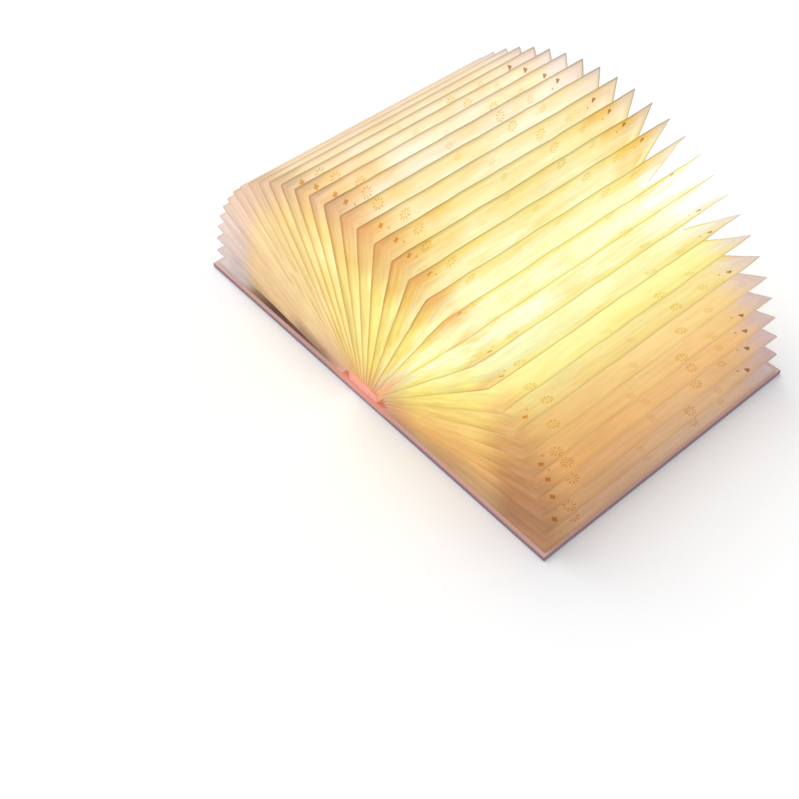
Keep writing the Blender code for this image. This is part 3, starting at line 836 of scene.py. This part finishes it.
def lit_paper():
    """Fibrous white paper with a painted glow for the light from within: palest where the folds open over
    the strip, amber and then brown towards the covers, grey-rose at the far tips. Painted shade lies near
    the covers, under the first fold and along the crests, with painted highlights where the folds open
    most. Small gilt bursts and seeds are printed on it."""
    paper = Finish("lit_paper", Specular_IOR_Level=0.2)
    place = paper.place()
    x, y, z = place.parts()
    length, depth, _ = paper.flat("fold_flat").parts()
    share = 1 - turn(x, z) * (2 / math.pi)
    far = (x * x + z * z) ** 0.5
    from_tail = y + PAGE_END
    from_head = PAGE_END - y

    # the painted glow by place on the fan, with painted shade and painted highlights laid into it
    wander = paper.noise(place, 0.035, 3, 0.6) - 0.5
    stops = [
        (0.0, seen(176, 136, 116)),
        (0.04, seen(243, 214, 180)),
        (0.2, seen(252, 226, 194)),
        (0.45, seen(254, 236, 200)),
        (0.6, seen(250, 237, 166)),
        (0.725, seen(252, 246, 180)),
        (0.79, seen(251, 240, 158)),
        (0.85, seen(249, 216, 148)),
        (0.91, seen(240, 194, 134)),
        (1.0, seen(200, 168, 144)),
    ]
    glow = paper.node("ShaderNodeValToRGB", {"stops": stops}, {0: (share + wander * 0.06) * 0.5 + 0.5})
    tail = from_tail.fall(2.0, 26.0)
    head = from_head.fall(0.0, 30.0)
    tip = far.rise(102.0, 122.0)
    root = far.fall(10.0, 31.0)
    near_front = share.fall(-0.84, -0.54)
    near_back = share.rise(0.55, 0.9)
    glow = paper.mix(glow, glow * (0.97, 0.92, 0.72), tail * 0.85)
    tail_tip = paper.mix(seen(231, 206, 190), seen(242, 208, 154), share.rise(-0.16, 0.06))
    glow = paper.mix(glow, tail_tip, tail * tip * 0.8)
    glow = paper.mix(glow, seen(228, 212, 208), tail * far.rise(98.0, 118.0) * near_front * 0.9)
    # painted shade on the far tail tips by the back cover
    glow = paper.mix(glow, glow * (0.64, 0.56, 0.68), tail * far.rise(88.0, 120.0) * near_back)
    head_tip = paper.mix(seen(236, 222, 222), seen(206, 184, 184), share.rise(0.5, 0.95))
    glow = paper.mix(glow, head_tip, head * tip * 0.95)
    # a painted highlight where the folds open most over the strip, near the head
    lit_most = share.rise(0.25, 0.36) * share.fall(0.47, 0.56)
    over = from_head.fall(6.0, 46.0) * far.rise(80.0, 104.0) * lit_most
    glow = paper.mix(glow, seen(255, 254, 244), over * 0.8)
    # a painted salmon glow at the roots over the housing, darker near the covers as painted shade
    glow = paper.mix(glow, seen(254, 204, 172), root * 0.8)
    glow = paper.mix(glow, seen(222, 146, 118), root * tail * abs(share).rise(0.82, 0.97) * 0.9)
    # painted light on the middle of the tail side
    mid_tail = tail * far.fall(85.0, 105.0) * share.rise(-0.45, -0.2) * share.fall(0.1, 0.25)
    glow = glow * (1.0 + mid_tail * (0.05, 0.12, 0.08))
    # painted shade low in the fan at the tail, near the spine
    sunk = tail * far.fall(24.0, 52.0) * share.fall(-0.85, -0.2).most(share.rise(0.1, 0.5))
    sunk_tone = paper.mix((0.82, 0.74, 0.86), (0.82, 0.76, 1.06), share.rise(-0.2, 0.2))
    glow = paper.mix(glow, glow * sunk_tone, sunk)
    # painted shade in the gap between the front cover and the first folds
    gap = tail * abs(far - 46).fall(8.0, 26.0) * share.fall(-0.92, -0.76)
    glow = glow * (1.0 + gap * (-0.48, -0.52, -0.42))
    # painted shade on the folds' shoulders by the tail
    shoulder = from_tail.fall(4.0, 30.0) * far.rise(78.0, 100.0)
    shoulder = shoulder * share.rise(-0.24, -0.04) * share.fall(0.36, 0.42)
    glow = glow * (1.0 + shoulder * (-0.07, -0.20, -0.24))
    # painted shade on the lower far tips by the back cover
    low_back = share.rise(0.6, 0.7) * far.rise(98.0, 112.0)
    glow = glow * (1.0 + low_back * y.fall(-60.0, 25.0) * (-0.10, -0.19, -0.28))
    # a paler, bluer painted light on a band of folds at the tail
    pale = tail * far.rise(70.0, 86.0) * abs(share - 0.46).fall(0.03, 0.1)
    glow = glow * (1.0 + pale * (0.0, 0.12, 0.36))
    # a bluer painted light on the far tips by the front cover
    low_front = share.fall(-0.9, -0.72) * far.rise(98.0, 110.0) * abs(y + 15).fall(12.0, 30.0)
    glow = glow * (1.0 + low_front * (0.0, 0.06, 0.34))
    # painted shade on the folds nearest the front cover
    glow = glow * (1.0 + tail * share.fall(-0.97, -0.86) * far.rise(50.0, 80.0) * (-0.2, -0.16, -0.12))
    # a painted shadow under the first fold, by the front cover
    under_front = share.fall(-0.975, -0.93) * far.rise(26.0, 48.0) * tail
    glow = paper.mix(glow, seen(98, 60, 64), under_front * far.fall(80.0, 112.0) * 0.95)

    # streaks and patches in the glow along each fold, painted shade towards the crests and painted light
    # towards the valleys, and a painted dark line of shade on each crest
    fold = (share * FOLDS_A_SIDE + FOLDS_A_SIDE).sum("ROUND")
    along = paper.node("ShaderNodeCombineXYZ", {}, {0: length * 0.03, 1: depth * 1.6, 2: fold * 7.3})
    streak = paper.noise(along * (1.0, 5.0, 1.0), 1.0, 4, 0.7)
    cloud = paper.noise(along, 1.0, 3, 0.55)
    fibre = paper.noise(place, 1.1, 5, 0.7)
    own_tone = paper.noise(paper.node("ShaderNodeCombineXYZ", {}, {0: fold * 3.1}), 1.0, 0)
    valley = depth.rise(0.04, 0.65)
    band = share.rise(0.1, 0.3) * share.fall(0.46, 0.58)
    plain = share.fall(-0.6, -0.22).most(share.rise(0.45, 0.8))
    amber = abs(y + 58).fall(8.0, 22.0) * far.rise(88.0, 100.0)
    amber = amber * share.rise(-0.38, -0.16) * share.fall(0.08, 0.3)
    amber = amber * (1 - abs(share).fall(0.04, 0.14) * 0.6)
    amber = amber.most(abs(y - 62).fall(6.0, 18.0) * share.rise(-0.05, 0.12) * share.fall(0.26, 0.36))
    glow = paper.mix(glow, glow * (0.985, 0.90, 0.78), amber * 0.9)
    # painted shade towards each fold's crest and painted light towards its valley
    shade = paper.mix((1.0, 0.90, 0.64), (1.0, 0.93, 0.70), band)
    shaded = glow * paper.mix(shade, (0.99, 0.96, 0.92), plain)
    shaded = paper.mix(shaded, shaded * (0.98, 0.82, 0.52), amber * 0.8)
    corner = tip * head.most(tail)
    lift = paper.mix((1.03, 1.08, 1.22), (1.05, 1.13, 1.6), band)
    bright = glow * paper.mix(lift, (1.0, 1.02, 1.06), plain.most(corner))
    patches = (cloud - 0.5) * (1.8 + band * 0.6 - plain * 0.7)
    brightness = (valley * 0.7 + patches + 0.24 - band * 0.3).least(1.0).most(0.0)
    glow = paper.mix(shaded, bright, brightness)
    grain = 1.0 + (streak - 0.5) * (0.45 + tail * 0.3) + (own_tone - 0.5) * 0.22 + (fibre - 0.5) * 0.08
    glow = glow * grain
    front_gain = paper.mix((1.10, 1.12, 1.22), (1.05, 1.08, 0.98), tail)
    front_half = share.rise(-0.82, -0.5) * share.fall(-0.12, 0.1) * (1 - tip * tail)
    glow = paper.mix(glow, glow * front_gain, front_half)
    # a thin painted shade along each crest
    crest_shade = depth.fall(0.0, 0.18) * 0.5 + depth.fall(0.025, 0.07) * 0.5
    crest_shade = crest_shade * (1.0 - plain * 0.7) * (0.7 + cloud * 0.6)
    crest_shade_tone = paper.mix((0.72, 0.62, 0.52), (0.55, 0.56, 0.52), from_tail.rise(0.0, 12.0))
    crest_shade_tone = paper.mix(crest_shade_tone, (0.60, 0.61, 0.54), lit_most)
    glow = paper.mix(glow, glow * crest_shade_tone, crest_shade)

    # the gilt, and how much of the look is painted glow
    gilt, seeds = gilt_print(paper, y, length, depth, fold)
    glow = paper.mix(glow, glow * seen(232, 210, 152), gilt)
    seed_tone = paper.mix(seen(224, 184, 112), seen(164, 130, 84), (y * 0.012 + share).rise(-0.2, 0.6))
    glow = paper.mix(glow, glow * seed_tone, seeds * 0.9)
    glow_share = 0.88 - corner * 0.35
    paper.set(
        Base_Color=glow * (1 - glow_share) * 1.3,
        Roughness=0.72 + fibre * 0.2,
        Emission_Color=glow * glow_share,
        Emission_Strength=1.0,
    )
    return paper.bump(fibre + cloud + streak, 0.06, 0.6)


# place along the page, slide from fold to fold, reach and strength, in mm and shares
BURSTS = ((27, 5, 3.4, 0.9), (-8, 7, 2.4, 0.6), (48, 4, 2.6, 0.7), (-62, 4, 3.6, 0.9))
# place along the page, depth below the crest, size in mm and number of petals
SEEDS = ((68.0, 4.4, 1.4, 3), (63.5, 7.0, 0.7, 0), (-75.0, 5.0, 1.5, 4), (-70.5, 8.6, 0.8, 0))


def gilt_print(paper, y, length, depth, fold):
    """Masks for the gilt printed along the folds: little bursts of rays, and seeds by the corners."""
    down = depth * (VALLEY_INSET * 1000)
    sway = (fold * 1.9).sum("SINE")
    shown = (fold * 2.6 + 0.7).sum("SINE").rise(-0.75, -0.55)
    bursts = None
    for middle, slide, reach, share in BURSTS:
        a = y - middle - sway * slide
        b = down - 6.0 - sway * 1.5
        far = (a * a + b * b) ** 0.5
        rays = ((turn(a, b) + sway) * 9).sum("COSINE").rise(-0.3, 0.3) * far.rise(reach * 0.3, reach * 0.4)
        burst = rays.most(far.fall(0.3, 0.6)) * far.fall(reach * 0.85, reach) * share
        bursts = burst if bursts is None else bursts.most(burst)
    seeds = None
    for middle, rise, size, petals in SEEDS:
        a = y - middle - sway * 1.6
        b = down - rise - sway * 1.2
        reach = size + (abs((turn(a, b) * (petals / 2)).sum("COSINE")) * 0.7 - 0.35 if petals else 0.0)
        seed = (reach - (a * a + b * b) ** 0.5).rise(-0.2, 0.7)
        seeds = seed if seeds is None else seeds.most(seed)
    wear_and_highlight_waver = paper.noise(paper.node("ShaderNodeCombineXYZ", {}, {0: length, 1: down, 2: fold * 11.0}), 0.9, 2)
    return bursts * wear_and_highlight_waver.rise(0.3, 0.45), seeds * shown


page_finish = lit_paper()
for number in range(1, LEAF_COUNT + 1):
    walls = [(fold_points(number, -1), True), (fold_points(number, 1), False)]
    fold = paper_piece(f"page_fold_{number:02d}", walls, page_finish)
    middle = page_point(fold_share(number), MID_PAGE, 0.0)
    normal = page_point(fold_share(number), MID_PAGE, 0.0, 0.001) - middle
    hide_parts(f"page_leaf_{number:02d}")
    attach(fold, f"leaf_{number:02d}")
    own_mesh(fold)


def pasted_panel(side):
    """The flat end of the sheet, pasted on the cover's lining."""

    def build(shape, flat):
        inner = HINGE_X + GROOVE_HALF
        outer = HINGE_X + PAGE_TIP
        columns = 10
        rows = 14
        grid = []
        for row in range(rows + 1):
            y = PAGE_HALF * (2 * row / rows - 1)
            grid.append([
                shape.verts.new((side * (inner + (outer - inner) * column / columns), y, PANEL_MIDDLE))
                for column in range(columns + 1)
            ])
        for low, high in zip(grid, grid[1:]):
            for a, b, c, d in zip(low, low[1:], high[1:], high):
                face = shape.faces.new((a, b, c, d) if side > 0 else (d, c, b, a))
                for loop in face.loops:
                    loop[flat].uv = (loop.vert.co.y, PASTED_DEPTH)

    return build


for side, body in ((-1, "front_cover"), (1, "back_cover")):
    label = body.split("_")[0]
    index = 0 if side < 0 else LEAF_COUNT + 1
    walls = [(fold_points(index, -side), side > 0)]
    panel = paper_piece(label + "_pasted_fold", walls, page_finish, pasted_panel(side))
    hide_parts(label + "_end_panel")
    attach(panel, body)
    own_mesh(panel)


# The light housing
# A rose plastic channel moulded with a crowned top, closed below by a plate and held to the spine with
# foam tape. The thin wall lets some of the light through.
def moulded(name, dark, pale, glow, strength):
    """Fine matt moulded plastic with a painted glow, this strong, for the light that comes through its
    wall.
    """
    plastic = Finish(name, Specular_IOR_Level=0.4, Coat_Roughness=0.4, Emission_Strength=strength)
    place = plastic.place()
    skin = plastic.noise(place, 3.5, 3)
    flow = plastic.noise(place * (1.0, 0.1, 1.0), 0.25, 2)
    _, y, _ = place.parts()
    # Where the pages lie over it, the painted glow takes the strip's yellow.
    covered = abs(y).fall(PAGE_END - 3.0, PAGE_END + 0.2)
    lit = plastic.mix(glow, seen(255, 226, 150), covered)
    plastic.set(
        Base_Color=plastic.mix(dark, pale, flow * 0.7 + skin * 0.3),
        Roughness=0.42 + skin * 0.2,
        Emission_Color=lit * (0.7 + flow * 0.3),
    )
    return plastic.bump(skin, 0.015)


rose_plastic = moulded("rose_plastic", seen(206, 146, 134), seen(224, 164, 150), seen(236, 146, 116), 0.5)
coat(rose_plastic, "led_housing", "housing_base")

foam = Finish("foam_tape", Specular_IOR_Level=0.2)
cells = foam.noise(foam.place(), 6.0, 2)
foam.set(Base_Color=foam.mix(seen(214, 212, 206), seen(240, 238, 232), cells), Roughness=0.8 + cells * 0.15)
foam.bump(cells, 0.03)
coat(foam, "housing_tape", "battery_tape")


# The light strip and its diffuser
# Twelve warm white chips on a long green board, under a frosted window that fills the housing's slot.
SLOT_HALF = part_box("led_strip")[1].y * 1000
CHIP_COUNT = 12
CHIP_PITCH = 2 * SLOT_HALF / CHIP_COUNT

frosted = Finish("frosted_window", Specular_IOR_Level=0.4, Emission_Strength=1.0)
window_place = frosted.place()
_, window_y, _ = window_place.parts()
beat = ((window_y / CHIP_PITCH + 0.5) * 2 * math.pi).sum("COSINE") * 0.5 + 0.5
frost = frosted.noise(window_place, 2.5, 3)
frosted.set(
    Base_Color=frosted.mix(seen(236, 224, 196), seen(250, 242, 220), frost),
    Roughness=0.4 + frost * 0.2,
    Emission_Color=frosted.mix(seen(250, 214, 130), seen(255, 246, 206), 1 - beat),
)
frosted.bump(frost, 0.01)
coat(frosted, "led_diffuser")

strip_board = Finish("strip_board", Specular_IOR_Level=0.5, Emission_Strength=1.0)
strip_place = strip_board.place()
strip_x, strip_y, strip_z = strip_place.parts()
chip_top = strip_z.rise(8.5, 8.6)
tracks = (strip_x * 2.1).sum("SINE").rise(0.2, 0.5) * strip_board.noise(strip_place * (1, 0.02, 1), 0.4, 1)
solder = strip_board.mix(seen(38, 92, 58), seen(66, 128, 84), tracks)
from_chip = abs((strip_y / CHIP_PITCH + 100).sum("FRACT") - 0.5)
phosphor = from_chip.fall(0.05, 0.09) * abs(strip_x).fall(0.8, 1.0)
chip_tone = strip_board.mix(seen(240, 238, 230), seen(244, 206, 96), phosphor)
strip_board.set(
    Base_Color=strip_board.mix(solder, chip_tone, chip_top),
    Roughness=0.3 + tracks * 0.3,
    Emission_Color=strip_board.mix((0.0, 0.0, 0.0), seen(255, 232, 160), chip_top),
)
coat(strip_board, "led_strip")


# Power
# A flat foil-pouch cell taped to the plate, a charge board with a sensor that feels the magnets, and
# two short leads between them.
foil = Finish("cell_pouch", Metallic=0.8)
crinkle = foil.noise(foil.place(), 0.35, 5, 0.6)
foil.set(
    Base_Color=foil.mix(seen(176, 178, 182), seen(212, 213, 215), crinkle),
    Roughness=0.28 + crinkle * 0.25,
)
foil.bump(crinkle, 0.15)
coat(foil, "battery_cell")

charge_green = Finish("charge_green", Specular_IOR_Level=0.5)
board_place = charge_green.place()
runs = (charge_green.noise(board_place * (1, 1, 0), 0.6, 1) * 40).sum("SINE").rise(0.5, 0.7)
pads = charge_green.node("ShaderNodeTexVoronoi", {}, {"Vector": board_place, "Scale": 0.45}).fall(0.16, 0.2)
green = charge_green.mix(seen(26, 84, 50), seen(52, 116, 74), runs)
charge_green.set(
    Base_Color=charge_green.mix(green, seen(206, 204, 196), pads),
    Roughness=0.32 + runs * 0.1,
    Metallic=pads * 0.9,
)
charge_green.bump(runs * 0.5 + pads, 0.02)
coat(charge_green, "charge_board")


def soft_plastic(name, dark, pale):
    """Scuffed insulation or a small moulded body."""
    plastic = Finish(name, Specular_IOR_Level=0.5)
    scuff = plastic.noise(plastic.place(), 2.8, 4)
    plastic.set(Base_Color=plastic.mix(dark, pale, scuff), Roughness=0.38 + scuff * 0.25)
    return plastic.bump(scuff, 0.01)


black_plastic = soft_plastic("black_plastic", seen(26, 26, 28), seen(52, 52, 54))
red_plastic = soft_plastic("red_insulation", seen(150, 26, 22), seen(186, 44, 36))
coat(black_plastic, "hall_sensor", "battery_lead_negative")
coat(red_plastic, "battery_lead_positive")


# The charging socket and its indicator
# A drawn steel shell in the head end of the housing, with a small milky light pipe beside it.
socket_steel = Finish("socket_steel", Metallic=1.0)
drawn = socket_steel.noise(socket_steel.place() * (1.0, 0.08, 1.0), 6.0, 3)
socket_steel.set(
    Base_Color=socket_steel.mix(seen(178, 178, 180), seen(214, 213, 211), drawn),
    Roughness=0.22 + drawn * 0.2,
)
socket_steel.bump(drawn, 0.006)
coat(socket_steel, "usb_socket")

milky = Finish("milky_lens", Specular_IOR_Level=0.5, Emission_Strength=0.25)
haze = milky.noise(milky.place(), 1.5, 2)
milky.set(
    Base_Color=milky.mix(seen(226, 226, 222), seen(244, 243, 238), haze),
    Roughness=0.25 + haze * 0.15,
    Emission_Color=milky.mix(seen(120, 180, 120), seen(150, 205, 140), haze),
)
coat(milky, "charge_indicator")

bpy.context.view_layer.update()
